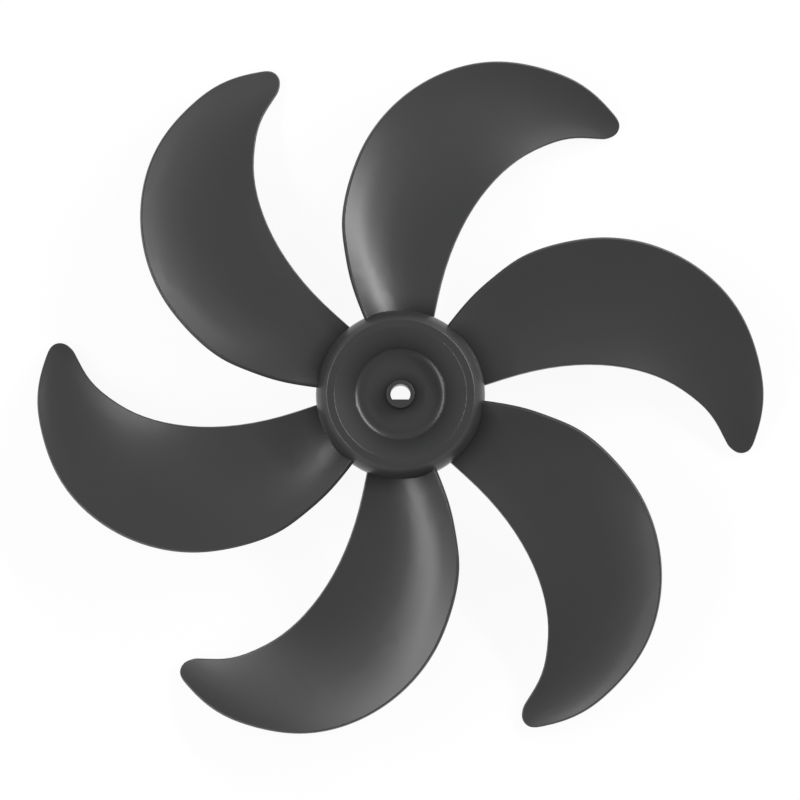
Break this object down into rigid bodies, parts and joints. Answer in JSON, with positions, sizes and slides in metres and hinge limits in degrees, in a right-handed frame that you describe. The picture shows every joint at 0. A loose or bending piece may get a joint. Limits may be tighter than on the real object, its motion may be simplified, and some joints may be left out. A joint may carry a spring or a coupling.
{
  "type": "fan blade",
  "caption": "Moulded fan propeller with broad, swept and cupped blades round a dished hub that has a D-shaped shaft bore.",
  "frame": {"origin": "on the spin axis, in the plane of the hub's back rim, which the part rests on", "axes": "+Z along the spin axis towards the dished front, +Y towards the blade whose root is opposite the flat of the bore"},
  "size_m": [0.2968, 0.2736, 0.0415],
  "materials": {
    "charcoal_plastic": "satin moulded charcoal plastic"
  },
  "bodies": {
    "root": {"fan_blade": "charcoal_plastic"}
  },
  "joints": []
}
